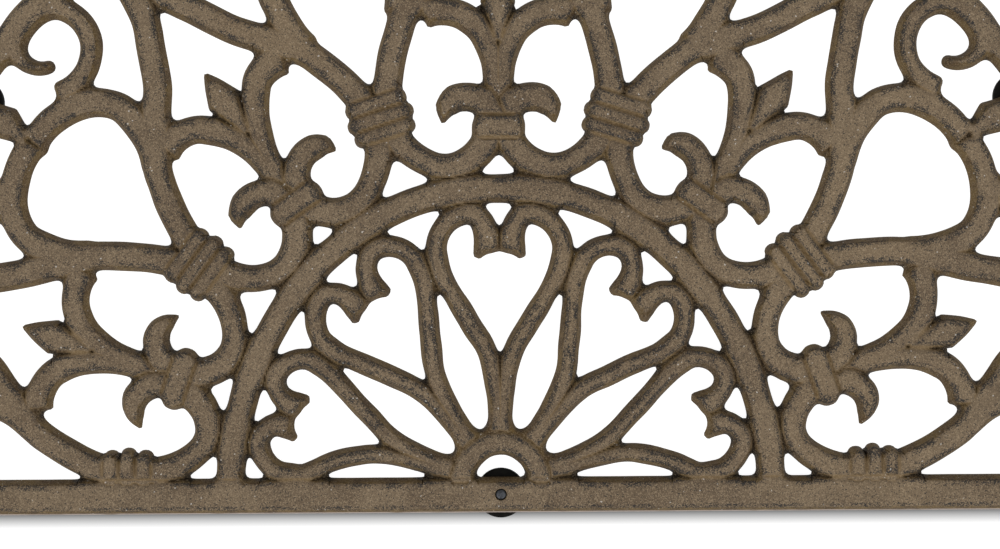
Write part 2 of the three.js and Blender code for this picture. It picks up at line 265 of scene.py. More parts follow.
def half_turn(count, radius_at, more=3):
    """Points of a half turn round the plan's middle, from the bar's left end over the top, and
    a few degrees more at either end."""
    angle = np.linspace(-90 - more, 90 + more, count + 1)
    return polar(radius_at(angle), angle)


ARC_SPANS = 36
add_stroke(half_turn(ARC_SPANS, lambda angle: (
    arch_radius(angle) - CROWN_DIP * np.exp(-(angle / CROWN_REACH) ** 2)
    + LEG_SPREAD * np.exp(-((90 - abs(angle)) / LEG_REACH) ** 2))), ARCH_WIDTH)
add_stroke(half_turn(ARC_SPANS, lambda angle: arch_radius(angle) + RING_DEPTH), RIM_WIDTH)

# From under the collar a curve swings to the arch and up to the joint band, and the arm runs
# on to the tip of the pointed arch and the rim. The balloon arch closes over the joint band.
# All of these are pairs of shares, across and out.
STROKE_WIDTH = 16.4
CURVE = [(0.05, 0.165), (0.118, 0.121), (0.2, 0.091), (0.32, 0.073), (0.475, 0.066),
         (0.625, 0.0755), (0.774, 0.107), (0.878, 0.153), (0.912, 0.2)]
CURVE_WIDTHS = [15.6, 16.6, 17.2, 16, 14.8, 14.8, 15.4, 16, 16.2]
ARM = [(0.91, 0.25), (0.9, 0.3), (0.855, 0.345), (0.79, 0.395), (0.715, 0.445), (0.655, 0.482),
       (0.55, 0.525), (0.42, 0.578), (0.318, 0.625), (0.24, 0.677), (0.173, 0.729), (0.108, 0.781),
       (0.072, 0.833), (0.056, 0.885), (0.062, 0.94), (0.08, 1)]
BALLOON = [(0.575, 0.5), (0.535, 0.56), (0.517, 0.615), (0.52, 0.662), (0.563, 0.7), (0.635, 0.733),
           (0.74, 0.76), (0.86, 0.777), (1, 0.782)]
BALLOON_HEIGHT = 9.9
SLIM_BALLOON = 0.8                # the four halves of balloons nearest the top are this share as wide
TALL_PETAL = [(0.03, 0.165), (0.034, 0.286), (0.042, 0.339), (0.083, 0.39), (0.122, 0.42),
              (0.19, 0.45), (0.26, 0.47), (0.34, 0.482), (0.43, 0.486), (0.51, 0.48)]
TALL_WIDTHS = np.array([0.63, 0.67, 0.78, 0.88, 0.94, 1, 1, 1, 1, 0.95]) * 16
TALL_HEIGHTS = [9.3, 9.5, 9.8, 9.9, 9.9, 9.9, 9.9, 9.9, 9.8, 9.6]
SIDE_PETAL = [(0.03, 0.165), (0.134, 0.234), (0.257, 0.257), (0.365, 0.258), (0.462, 0.245),
              (0.53, 0.221)]
SIDE_HEIGHTS = [10.3, 10.2, 10.1, 10, 10, 9.6]
FLOWER_LEAF = [(0, 0.38), (0, 0.44), (0, 0.495), (0, 0.545), (0, 0.58)]
CROWN_LEAF = [(0, 0.79), (0, 0.83), (0, 0.872), (0, 0.94), (0, 1)]
LEAF_WIDTHS = np.array([0.25, 0.64, 1, 0.52, 0.08]) * 20
LEAF_HEIGHTS = CAST + np.array([-0.5, 0.8, 0.8, -0.5, -1.5])
LEAF_LEAN = 0.015                 # the second motifs' leaves lean this much towards the top
SCROLL_EYE = (0.564, 0.904)
SCROLL_RADIUS = 24.2
SCROLL_TURNS = np.array([-35, -10, 20, 55, 90, 125, 160, 190, 220, 250, 280, 310, 335])
SCROLL_SHARES = np.array([1.08, 1.02, 1, 1, 1, 0.98, 0.93, 0.86, 0.76, 0.65, 0.53, 0.43, 0.36])
SCROLL_WIDTHS = 7 + 6 * (np.minimum(SCROLL_SHARES, 0.93) - 0.36) / 0.57    # from 7 at its tip to 13

# Hearts in the arch: a barb and a curl above, and a stem down to the hub.
HEART_BARB = [(0.15, 0.85), (0.325, 0.764)]
BARB_WIDTHS = [10.5, 4.2]
HEART_LOBE = [(0.16, 0.775), (0.154, 0.8), (0.16, 0.828), (0.223, 0.874), (0.324, 0.903),
              (0.447, 0.913), (0.615, 0.899), (0.754, 0.867), (0.832, 0.829), (0.852, 0.79),
              (0.856, 0.742)]
HEART_STEM = [(0.828, 0.702), (0.762, 0.652), (0.66, 0.593), (0.54, 0.535), (0.35, 0.465),
              (0.25, 0.398), (0.21, 0.332), (0.19, 0.29), (0.185, 0.22), (0.27, 0.14)]
BAR_STEM = [(0.765, 0.7), (0.635, 0.656), (0.49, 0.595), (0.38, 0.547), (0.275, 0.5),
            (0.215, 0.445), (0.2, 0.38), (0.18, 0.3), (0.175, 0.22), (0.27, 0.14)]
HEART_WIDTHS = [12.9, 12.8, 12.6, 12.2] + [12] * 6 + [11.6] + [
    11.4, 11.2, 11.2, 11.2, 10.8, 10, 9.2, 9.2, 9.4, 10]
HEART_HEIGHT = 9.7
HEART_HEIGHTS = [HEART_HEIGHT] * 18 + [9.5, 9.2, 9.2]

# How single strokes differ from this pattern. A spot is the motif's place from the top, 0 to 2,
# and whether the stroke stands on the side of it that looks to the top, which at the top neither
# does. Leans are shares across.
ARM_LEANS = {
    (0, False): [0] * 9 + [-0.014, -0.017, -0.017, -0.017, -0.017, -0.015, -0.012, -0.006] + [0] * 8,
    (1, False): [0] * 6 + [0.012] * 3 + [-0.006, -0.012, -0.016, -0.017, -0.018, -0.018, -0.02, -0.025,
                                         -0.036, -0.038, -0.034, -0.027, -0.018, -0.01, 0, 0],
    (2, True): [0] * 6 + [0.012] * 3 + [0, -0.012, -0.022, -0.034, -0.034, -0.034, -0.028, -0.014]
    + [0] * 8,
}
TALL_LEANS = {
    (0, False): [0, 0.012, 0.012, 0.012, 0.012, 0.008, 0, 0, 0, 0],
    (1, True): [0, 0.012, 0.032, 0.038, 0.038, 0.028, 0.014, 0, 0, 0],
    (2, False): [0, 0.008, 0.016, 0.016, 0.016, 0.01, 0, 0, 0, 0],
}
TALL_RISE = np.array([0, 0, 0, 0, 0, 0.006, 0.012, 0.013, 0.013, 0.013])    # out, times these by place
TALL_RISE_SHARES = [-0.5, 1, 0]
TALL_THICKER = {(1, True): [0, 0, 0, 0, 0, 0, 1, 1.8, 1.8, 1.5]}
SIDE_WIDTHS = [np.array([0.9, 1, 1, 1, 0.8, 0.08]) * 16.6, np.array([0.9, 1, 1, 1, 0.8, 0.08]) * 15.4,
               np.array([0.9, 1, 1, 0.9, 0.6, 0.08]) * 15.4]
SIDE_DROOPS = {                   # shares across and out that the side petals hang lower by
    (0, False): [(0, 0.002), (0, 0.007), (0, 0.013), (0.005, 0.016), (0.02, 0.025), (0.035, 0.038)],
    (1, False): [(0, 0.004)] * 6,
    (1, True): [(-0.045, 0.004), (-0.045, 0.004), (-0.04, 0.004), (-0.03, 0.004), (-0.02, 0.004),
                (-0.02, 0.004)],
    (2, False): [(-0.03, 0), (-0.015, 0.009), (0, 0.008), (0.012, 0.008), (0.018, 0.006), (0, -0.002)],
    (2, True): [(-0.03, 0.002), (-0.015, 0.011), (0, 0.01), (0.012, 0.01), (0.018, 0.008), (0, 0)],
}
CURL_LIFTS = {(2, False): 0.03, (2, True): 0.012}     # out, fading along the curl of the outer hearts
CURL_FADE = np.array([1, 0.9, 0.7, 0.3] + [0] * 17)
NECK_LEANS = {(1, False): 0.035, (2, True): 0.035}    # keep the necks of two hearts apart
NECK_FADE = np.array([0] * 9 + [0.3, 0.8, 1, 1, 0.8, 0.5] + [0] * 6)
STEM_LEANS = {(1, False): [0] * 11 + [-0.015, -0.025, -0.03, -0.035, -0.035, -0.02, -0.01, 0, 0, 0]}
TOP_CURL = np.array([(-0.004, 0.004), (-0.012, 0.008), (-0.016, 0.007)])    # third to fifth points
HEART_THICKER = {
    (0, False): [0, 0, 0.9, 1.6, 1] + [0] * 8 + [0.9] * 5 + [0] * 3,
    (1, True): [0] * 13 + [0.9] * 5 + [0] * 3,
    (1, False): [0] * 12 + [0.8] * 4 + [0] * 5,
}


def add_rib(axis, out_share, length, width, height, kind):
    """A rib across the joint line or the motif's axis, rounded at both ends."""
    middle = ring_place(axis, 1, [(0, out_share)])[0]
    ends = np.array([-0.5, 0.5])[:, None] * length * polar(1, axis + 90)
    add_stroke(middle + ends, width, height, kind, corner=0.45 * width)


COLLAR_OUT, COLLAR_WIDTH, COLLAR_HEIGHT = 0.16, 13.2, 11.5
COLLAR_LENGTH = 30
COLLAR_DEGREES = 12               # it is a millimetre longer for each of so many from the top
BAND_OUT = 0.242                  # the joint band's middle rib
RIB_SPACING, RIB_WIDTH, RIB_HEIGHT = 8.6, 9.2, 11.8
RIB_LENGTH = 36
MIDDLE_RIB_MORE = 2.8
axes = 2 * HALF_PITCH * (np.arange(MOTIFS) - (MOTIFS - 1) / 2)
joints = np.append(axes[0] - HALF_PITCH, axes + HALF_PITCH)
for axis in axes:
    place = round(abs(axis) / (2 * HALF_PITCH))
    for side in (1, -1):
        spot = (place, axis * side < -1)
        arm, tall = np.array(CURVE + ARM), np.array(TALL_PETAL)
        arm[:, 0] += ARM_LEANS.get(spot, 0)
        tall[:, 0] += TALL_LEANS.get(spot, 0)
        tall[:, 1] += TALL_RISE * TALL_RISE_SHARES[place]
        slim = SLIM_BALLOON if spot in ((0, False), (1, True)) else 1
        balloon = [(1 - slim * (1 - across), out_share) for across, out_share in BALLOON]
        add_stroke(ring_place(axis, side, arm), CURVE_WIDTHS + [STROKE_WIDTH] * len(ARM))
        add_stroke(ring_place(axis, side, balloon), STROKE_WIDTH, BALLOON_HEIGHT)
        add_stroke(ring_place(axis, side, tall), TALL_WIDTHS + TALL_THICKER.get(spot, 0),
                   TALL_HEIGHTS, corner=0.8)
        add_stroke(ring_place(axis, side, SIDE_PETAL - np.array(SIDE_DROOPS[spot])),
                   SIDE_WIDTHS[place], SIDE_HEIGHTS, "petal", corner=0.5)
        eye = ring_place(axis, side, [SCROLL_EYE])[0]
        turns = axis + side * SCROLL_EYE[0] * HALF_PITCH + 180 + side * SCROLL_TURNS
        add_stroke(eye + polar(SCROLL_RADIUS * SCROLL_SHARES, turns), SCROLL_WIDTHS, corner=3.2)
        lift, neck = CURL_LIFTS.get(spot, 0), NECK_LEANS.get(spot, 0)
        heart = np.array([*HEART_LOBE, *(BAR_STEM if spot == (2, False) else HEART_STEM)])
        heart += np.outer(CURL_FADE, (0, lift)) - np.outer(NECK_FADE, (neck, 0))
        heart[:, 0] += STEM_LEANS.get(spot, 0)
        heart[2:5] += TOP_CURL * (place == 0)
        add_stroke(heart_place(axis, side, heart), np.add(HEART_WIDTHS, HEART_THICKER.get(spot, 0)),
                   HEART_HEIGHTS, "heart", corner=5)
        barb = HEART_BARB + np.array([0, 0.6 * lift])
        add_stroke(heart_place(axis, side, barb), BARB_WIDTHS, HEART_HEIGHT, "heart", corner=0.8)
    leaf = FLOWER_LEAF - np.array([LEAF_LEAN * np.sign(axis) * (place == 1), 0])
    add_stroke(ring_place(axis, 1, leaf), LEAF_WIDTHS, LEAF_HEIGHTS, "leaf")
    add_rib(axis, COLLAR_OUT, COLLAR_LENGTH + abs(axis) / COLLAR_DEGREES, COLLAR_WIDTH, COLLAR_HEIGHT,
            "collar")
for axis in joints:
    for count in (-1, 0, 1):
        add_rib(axis, BAND_OUT + count * RIB_SPACING / RING_DEPTH,
                RIB_LENGTH + MIDDLE_RIB_MORE * (count == 0), RIB_WIDTH, RIB_HEIGHT, "rib")
for axis in joints[1:-1]:
    add_stroke(ring_place(axis, 1, CROWN_LEAF), LEAF_WIDTHS, LEAF_HEIGHTS, "leaf")

# The hub is a half ring on two straight legs, and the bar takes up all ends of the fan.
HUB_RADIUS, HUB_SPREAD = 20.9, 1.3    # its radius at the top, and how much wider it is at the bar
HUB_LIFT = 3.4
HUB_LEG = (1.4, 6)
HUB_WIDTH, HUB_HEIGHT = 12.8, 10.1
hub = half_turn(12, lambda angle: HUB_RADIUS + HUB_SPREAD * (angle / 90) ** 4, 0) + (0, HUB_LIFT)
right_leg = (-HUB_LEG[0], HUB_LEG[1])
add_stroke(np.concatenate([hub[:1] - HUB_LEG, hub, hub[-1:] - right_leg]), HUB_WIDTH, HUB_HEIGHT, "hub")
bar_ends = [-HALF_WIDTH, BAR_END - HALF_WIDTH, 0, HALF_WIDTH - BAR_END, HALF_WIDTH]
cut_width = BAR_WIDTH - 2 * BAR_END
add_stroke(np.array([(x, -BAR_DROP) for x in bar_ends]),
           [cut_width, BAR_WIDTH, BAR_WIDTH, BAR_WIDTH, cut_width], BAR_HEIGHT, "bar", cut=False)

FOOT_DROP = 4.4                   # the bar's feet stand this far below the arch's middle,
END_FOOT_X = HALF_WIDTH - 17      # the end ones this far from the middle foot,
RIM_FOOT_INSET = 7.5              # and the rim's this far inside the rim's middle line
FOOT_SPOT = 16                    # a round spot of iron over each of them carries the screw
bar_feet = [(-END_FOOT_X, -FOOT_DROP), (0, -FOOT_DROP), (END_FOOT_X, -FOOT_DROP)]
rim_feet = ring_place(0, 1, [(count, 1 - RIM_FOOT_INSET / RING_DEPTH) for count in (-3, -1, 1, 3)])
feet = np.concatenate([bar_feet, rim_feet])
for x, y in rim_feet:
    add_stroke(np.array([(x - 0.5, y), (x + 0.5, y)]), FOOT_SPOT, corner=FOOT_SPOT / 2)


# The casting: how it lies in plan and height
# Strokes flow together with small fillets. Each has a low skirt, so that a valley runs where
# two of them touch. Shoulders are rounded by the sand and by wear. Fillet is the reach of a kind's
# rounding towards the strokes before it, and groove the depth of the line along its own edge.
FILLET = {"flat": 6.5, "heart": 5.4, "bar": 4, "hub": 10, "petal": 4, "leaf": 3, "rib": 1.2, "collar": 3}
GROOVE = {"petal": 2, "collar": 1.7, "rib": 0.9, "leaf": 0.9, "hub": 1.7, "bar": 1.5}
GROOVE_REACH = 1.9
CREASE = 0.5                      # reach of the rounding between two faces
WALL_INSETS = np.array([0, 2.05, 2.5, 3.1, 4.1])          # this far inside the outline the iron
WALL_SHARES = np.array([0.05, 0.87, 0.95, 0.99, 1])       # has these shares of its full height
SKIRT_INSETS = np.array([-4, -2, 0, 1.6, 3, 4.5])         # and this far inside a stroke's edge its
SKIRT_SHARES = np.array([0.08, 0.26, 0.56, 0.87, 0.97, 1])    # own face has these
EDGE_WAVE = (0.22, 31, 0.4)       # slow unevenness of the outline: depth, length and seed
BAR_WAVE_SHARE = 0.15             # the bar is that much straighter
FACE_WAVE = (0.1, 43, 1.9)        # slow unevenness of the face
EDGE_REACH = 6                    # free edges are looked for this far away
STROKE_MARGIN = 14                # a stroke is measured this far beyond its edge
PIECE = 14                        # spans of a stroke that are measured at one go
GRID_LOW = np.array([-HALF_WIDTH - 8, -24])               # the mat and a margin round it
GRID_HIGH = np.array([HALF_WIDTH + 8, ARCH_RISE + RING_DEPTH + 18])
grid_x, grid_y = (np.arange(*ends) for ends in zip(GRID_LOW, GRID_HIGH))    # 1 mm apart


def soften(first, second, reach):
    """Larger of two values, lifted by up to a quarter of the reach where they are about equal."""
    near = np.maximum(reach - np.abs(first - second), 0)
    return np.maximum(first, second) + near ** 2 / (4 * reach)


def waves(x, y, length, seed):
    """Slow unevenness between about -1 and 1: products of sines in three turned directions."""
    total = 0
    for count in range(3):
        cos, sin = math.cos(seed + 2.1 * count), math.sin(seed + 2.1 * count)
        u = (x * cos + y * sin) * 2 * math.pi / (length * (1 - 0.17 * count))
        v = (y * cos - x * sin) * 2 * math.pi / (length * (1.2 + 0.1 * count))
        total = total + np.sin(u + 3 * seed) * np.cos(v + 5 * count)
    return total / 2


def window(low, high, margin):
    """Slices of the grid that hold a box of the plan and a margin round it."""
    first = np.maximum(np.floor(low - margin - GRID_LOW).astype(int), 0)
    last = np.ceil(high + margin - GRID_LOW).astype(int) + 1
    return slice(first[0], last[0]), slice(first[1], last[1])


def measure(stroke):
    """For the grid round a stroke: the window, how far points lie inside it, their side distance
    as a share of its half width, how far they lie from its cut ends, and its height there. The
    nearest span is found piece by piece. The inside distance is that of a box with rounded
    corners whose length runs along the line."""
    line, margin = stroke["line"], stroke["half"].max() + STROKE_MARGIN
    frame_x, frame_y = window(line.min(0), line.max(0), margin)
    x, y = np.meshgrid(grid_x[frame_x], grid_y[frame_y], indexing="ij")
    nearest = np.full(x.shape, 1e9)
    span = np.zeros(x.shape, int)
    for first in range(0, len(line) - 1, PIECE):
        part = line[first:first + PIECE + 1]
        cut_x, cut_y = window(part.min(0), part.max(0), margin)
        cut = (slice(cut_x.start - frame_x.start, cut_x.stop - frame_x.start),
               slice(cut_y.start - frame_y.start, cut_y.stop - frame_y.start))
        step = np.diff(part, axis=0)
        off_x, off_y = x[cut][..., None] - part[:-1, 0], y[cut][..., None] - part[:-1, 1]
        share = np.clip((off_x * step[:, 0] + off_y * step[:, 1]) / (step ** 2).sum(1), 0, 1)
        squared = (off_x - share * step[:, 0]) ** 2 + (off_y - share * step[:, 1]) ** 2
        best = squared.argmin(-1)
        least = np.take_along_axis(squared, best[..., None], -1)[..., 0]
        closer = least < nearest[cut]
        nearest[cut] = np.where(closer, least, nearest[cut])
        span[cut] = np.where(closer, best + first, span[cut])
    step = np.diff(line, axis=0)[span]
    length = np.linalg.norm(step, axis=-1)
    off_x, off_y = x - line[span, 0], y - line[span, 1]
    level = (off_x * step[..., 0] + off_y * step[..., 1]) / length
    share = np.clip(level / length, 0, 1)
    beyond = ((span == 0) & (level < 0)) | ((span == len(line) - 2) & (level > length))
    side = np.where(beyond, np.abs(off_x * step[..., 1] - off_y * step[..., 0]) / length,
                    np.sqrt(nearest))
    reach = np.where(beyond, level, share * length) + stroke["along"][span]
    past = np.maximum(-reach, reach - stroke["along"][-1])
    half, height = ((1 - share) * stroke[key][span] + share * stroke[key][span + 1]
                    for key in ("half", "height"))
    corner = np.minimum(stroke["corner"], 0.95 * half)
    across, ahead = side - half + corner, past + corner
    inside = (corner - np.hypot(np.maximum(across, 0), np.maximum(ahead, 0))
              - np.minimum(np.maximum(across, ahead), 0))
    return (frame_x, frame_y), inside, np.minimum(side / half, 1), -past, height


def from_edge(outline):
    """Distance from the nearest free edge, on the grid: the least, over all steps to a point
    outside, of the step's length less how far outside that point lies, up to 1.5 mm."""
    beyond = np.where(outline < 0, np.maximum(outline, -1.5), 99)
    nearest = np.full(outline.shape, float(EDGE_REACH))
    for i in range(-EDGE_REACH, EDGE_REACH + 1):
        for j in range(-EDGE_REACH, EDGE_REACH + 1):
            if math.hypot(i, j) <= EDGE_REACH:
                nearest = np.minimum(nearest, math.hypot(i, j) + np.roll(beyond, (i, j), (0, 1)))
    return np.where(outline > 0, nearest, outline)


def survey():
    """The cast pattern on the grid: how far each point lies inside the outline by the strokes'
    measure and by the real distance, and how high the face is there, which is the highest of the
    strokes, cut down along the outline."""
    x, y = np.meshgrid(grid_x, grid_y, indexing="ij")
    uneven = EDGE_WAVE[0] * waves(x, y, *EDGE_WAVE[1:])
    outline, face, cut = np.full(x.shape, -99.0), np.zeros(x.shape), np.zeros(x.shape)
    for stroke in strokes:
        box, inside, side, from_end, height = measure(stroke)
        inside = inside + uneven[box] * (BAR_WAVE_SHARE if stroke["kind"] == "bar" else 1)
        flat = inside
        if stroke["cut"]:         # the face runs on into the bar's, and sinks to it
            flat = np.minimum(inside, y[box] + BAR_DROP)
            inside = np.minimum(inside, y[box] - FUSE_LINE)
            height = np.minimum(height, BAR_HEIGHT + 0.5 * np.maximum(y[box] - 3, 0))
        outline[box] = soften(outline[box], inside, FILLET[stroke["kind"]])
        skirt = np.interp(flat, SKIRT_INSETS, SKIRT_SHARES, left=0)
        fall = 2 * np.clip(1 - from_end / 4, 0, 1) ** 2      # ribs sink by 2 mm over their last 4 mm
        top = {                   # how a kind's face sinks from its height, in millimetres
            "rib": (height - 3 * side ** 4 - fall) * (flat > 0),
            "collar": (height - 1.2 * side ** 8 - fall) * (flat > 0),
            "leaf": skirt * (height - 1.8 * np.clip(1 - flat / 3.8, 0, 1)),
            "hub": (0.55 + 0.45 * skirt) * height * (flat > -4),
        }.get(stroke["kind"], skirt * height)
        groove = GROOVE.get(stroke["kind"], 0) * np.maximum(1 - (inside / GROOVE_REACH) ** 2, 0) ** 2
        if stroke["kind"] == "bar":
            groove *= y[box] > 0  # only where the fan runs in
        cut[box] = np.maximum(cut[box] * (top < face[box]), groove)
        face[box] = soften(face[box], top, CREASE)
    edge = from_edge(outline)
    wall = np.interp(edge, WALL_INSETS, WALL_SHARES, left=0)
    return outline, edge, wall * (face - cut + FACE_WAVE[0] * waves(x, y, *FACE_WAVE[1:]))


def sample(field, points):
    """Field of the grid at plan points, between its four neighbours in proportion."""
    place = points - GRID_LOW
    low = np.clip(place.astype(int), 0, np.array(field.shape) - 2)
    i, j = low.T
    u, v = (place - low).T
    return ((1 - u) * (1 - v) * field[i, j] + u * (1 - v) * field[i + 1, j]
            + (1 - u) * v * field[i, j + 1] + u * v * field[i + 1, j + 1])


# The casting: its mesh
# The outline is traced on the grid, columns of points climb the wall from it, and the face is
# filled with a lattice that is finer where the face bends. Screw holes are drilled through.
TRACE = 2                         # grid steps between traced points
FLAT_ENOUGH = 0.024               # a face this near to the mean of its neighbours stays coarse
COARSE_STEP = 3                   # grid steps between the points that it then has
LAYER_INSETS = np.array([0.3, 0, 2.05, 2.5, 3.1, 4.1])    # of a column's points, from below
FOOT_BEVEL = 0.45                 # height of its second point; the wall stands on a small bevel
THIN_SHARE = 0.52                 # the most that a column leans in, as a share of the iron's depth
BRIDGE_SAG = 0.5                  # a span of the innermost ring this far over the face bridges a valley
CROSSING_REACH = 2.5              # columns this near to a crossing of the ring lean in less
HOLE_RADIUS = 3.3
HOLE_BEVEL = 0.3
HOLE_POINTS = 24
HOLE_CLEARANCE = 0.7
LATTICE_INSET = 1.2               # the lattice keeps this far from the outline
LATTICE_HOLE = 5                  # and from the middles of the screw holes
CASTING_LOW = 5.7                 # underside of the casting, on its feet
CREST_ROUNDS = 4
CORNER_SHADE_ROUNDS = 16
EDGE_STEEPNESS = 0.6              # per millimetre, what those rounds make of a straight edge
inside_field, edge_field, face_field = survey()
slope_field = np.gradient(inside_field)


def evened(field, rounds):
    """Field of the grid evened out: a round gives each point half its own value and a quarter of
    either neighbour's, along both axes."""
    for _ in range(rounds):
        for axis in (0, 1):
            field = (np.roll(field, 1, axis) + 2 * field + np.roll(field, -1, axis)) / 4
    return field


# Crest is how far the face stands above its surroundings: wear shows where it is high, and painted
# shade darkens the feet of walls where it is low. Corner is how much more iron lies round a point
# than round one as far inside a straight edge, which is about 1 / (1 + exp(-steepness * distance)):
# painted shade makes the openings' corners dark where it is high.
crest_field = face_field - evened(face_field, CREST_ROUNDS)
straight = 1 / (1 + np.exp(-EDGE_STEEPNESS * edge_field))
corner_shade_field = evened((inside_field > 0).astype(float), CORNER_SHADE_ROUNDS) - straight


def slide(points, level):
    """Moves points along the slope of the inside distance until it equals level, in three steps
    of up to a millimetre, and gives the unit slope there, which points into the iron."""
    for _ in range(3):
        slope = np.stack([sample(part, points) for part in slope_field], -1)
        size = np.maximum(np.linalg.norm(slope, axis=1), 0.3)[:, None]
        miss = (level - sample(inside_field, points))[:, None]
        points = points + np.clip(miss / size, -1, 1) * slope / size
    return points, slope / size


def trace_outline():
    """Points along the casting's outline and the pairs that follow each other with the iron on
    their left. Each cell that the outline crosses has one point, which slides onto the line where
    the inside distance is 0, and is evened out between its neighbours."""
    inside = inside_field[::TRACE, ::TRACE] > 0
    for _ in range(4):            # two corners that touch across a cell are joined
        a, b, c, d = inside[:-1, :-1], inside[1:, :-1], inside[1:, 1:], inside[:-1, 1:]
        pinched = (a == c) & (b == d) & (a != b)
        for i, j in ((0, 0), (1, 0), (1, 1), (0, 1)):
            inside[i:i + pinched.shape[0], j:j + pinched.shape[1]] |= pinched
    a, b, c, d = inside[:-1, :-1], inside[1:, :-1], inside[1:, 1:], inside[:-1, 1:]
    crossed = ~((a == b) & (b == c) & (c == d))
    number = np.full(crossed.shape, -1)
    number[crossed] = np.arange(crossed.sum())
    change = inside[:-1, 1:-1] != inside[1:, 1:-1]
    ends = np.stack([number[:, :-1][change], number[:, 1:][change]], -1)
    upright = np.where(inside[:-1, 1:-1][change][:, None], ends, ends[:, ::-1])
    change = inside[1:-1, :-1] != inside[1:-1, 1:]
    ends = np.stack([number[:-1][change], number[1:][change]], -1)
    level = np.where(inside[1:-1, :-1][change][:, None], ends[:, ::-1], ends)
    pairs = np.concatenate([upright, level])
    points = np.argwhere(crossed) * TRACE + TRACE / 2 + GRID_LOW
    for _ in range(5):
        points, _ = slide(points, 0)
        middle = np.zeros_like(points)
        np.add.at(middle, pairs[:, 0], points[pairs[:, 1]] / 2)
        np.add.at(middle, pairs[:, 1], points[pairs[:, 0]] / 2)
        points = (points + middle) / 2
    return slide(points, 0), pairs


def triangulate(points, pairs):
    """Triangles that fill the region left of the pairs, as rows of three point numbers, and the
    places where pairs cross, which have no number. Triangles with a pair as their own edge are
    inside, and so is each one that shares an edge with them that isn't a pair."""
    made = delaunay_2d_cdt([Vector(p) for p in points.tolist()], pairs.tolist(), [], 0, 1e-9, True)
    source = np.array([ids[0] if ids else -1 for ids in made[3]])
    crossings = np.array([made[0][i] for i in np.flatnonzero(source < 0)]).reshape(-1, 2)
    triangles = source[np.array(made[2])]
    start, end = triangles, np.roll(triangles, -1, 1)
    code, back = start * len(points) + end, end * len(points) + start
    limits = pairs @ (len(points), 1)
    inside = np.isin(code, limits).any(1)
    order = np.argsort(code, None)
    place = order[np.minimum(np.searchsorted(code.ravel()[order], back), code.size - 1)]
    open_edge = (code.ravel()[place] == back) & ~np.isin(back, limits) & ~np.isin(code, limits)
    neighbour = place // 3
    known = 0
    while inside.sum() > known:
        known = inside.sum()
        inside |= (inside[neighbour] & open_edge).any(1)
    return triangles[inside], crossings


def inset_shares(outline, inward, pairs):
    """For each outline point, how much of the full inset its column takes: less in thin strokes
    and beside screw holes, and less step by step wherever the innermost ring would bridge a valley
    or cross itself."""
    deep = np.max([sample(inside_field, outline + inward * depth) for depth in range(2, 12)], 0)
    away = np.linalg.norm(outline[:, None] - feet, axis=2).min(1)
    away -= HOLE_RADIUS + HOLE_BEVEL + HOLE_CLEARANCE
    shares = np.minimum(np.minimum(THIN_SHARE * deep, away) / LAYER_INSETS[-1], 1)
    for _ in range(10):
        ring = outline + inward * (LAYER_INSETS[-1] * shares)[:, None]
        middle = sample(face_field, ring[pairs].mean(1))
        bridged = middle < sample(face_field, ring)[pairs].mean(1) - BRIDGE_SAG
        shares[pairs[bridged].ravel()] *= 0.75
    for _ in range(8):
        ring = outline + inward * (LAYER_INSETS[-1] * shares)[:, None]
        crossings = triangulate(ring, pairs)[1]
        if not len(crossings):
            break
        shares[(np.linalg.norm(ring[:, None] - crossings, axis=2) < CROSSING_REACH).any(1)] *= 0.7
    return shares


(outline, inward), pairs = trace_outline()
shares = inset_shares(outline, inward, pairs)
layers = np.array([outline + inward * (inset * shares)[:, None] for inset in LAYER_INSETS])
rim = sample(face_field, layers[-1])
heights = np.array([0 * rim, 0 * rim + FOOT_BEVEL] + [
    np.minimum(sample(face_field, layer), share * rim)
    for layer, share in zip(layers[2:], WALL_SHARES[1:])])
crests = np.array([0 * rim, 0 * rim] + [sample(crest_field, layer) for layer in layers[2:]])

turn = np.arange(HOLE_POINTS) * 2 * math.pi / HOLE_POINTS
circle = np.stack([np.cos(turn), -np.sin(turn)], -1)
hole_layers = np.array([
    (feet[:, None] + radius * circle).reshape(-1, 2)
    for radius in [HOLE_RADIUS] * (len(layers) - 1) + [HOLE_RADIUS + HOLE_BEVEL]])
mouth = sample(face_field, hole_layers[-1])
climb = np.append(np.linspace(0, 1, len(layers) - 1), 1)[:, None]
hole_heights = climb * (mouth - HOLE_BEVEL)
hole_heights[-1] = mouth
layers = np.concatenate([layers, hole_layers], 1)
heights = np.concatenate([heights, hole_heights], 1)
crests = np.concatenate([crests, 0 * hole_heights], 1)
first = np.arange(len(feet))[:, None] * HOLE_POINTS + len(outline)
step = np.arange(HOLE_POINTS)
around = np.stack([first + step, first + (step + 1) % HOLE_POINTS], -1)
pairs = np.concatenate([pairs, around.reshape(-1, 2)])

free = edge_field > LATTICE_INSET
i, j = np.rint(layers[-1] - GRID_LOW).astype(int).T
for right in (-1, 0, 1):
    for up in (-1, 0, 1):
        free[i + right, j + up] = False
from_holes = np.hypot(grid_x[:, None, None] - feet[:, 0], grid_y[:, None] - feet[:, 1]).min(-1)
free &= from_holes > LATTICE_HOLE
bend = face_field - sum(np.roll(face_field, step, axis) for step in (1, -1) for axis in (0, 1)) / 4
coarse = ((np.arange(len(grid_x))[:, None] % COARSE_STEP == 0)
          & (np.arange(len(grid_y)) % COARSE_STEP == 0))
lattice = np.argwhere(free & (coarse | (np.abs(bend) > FLAT_ENOUGH))) + GRID_LOW

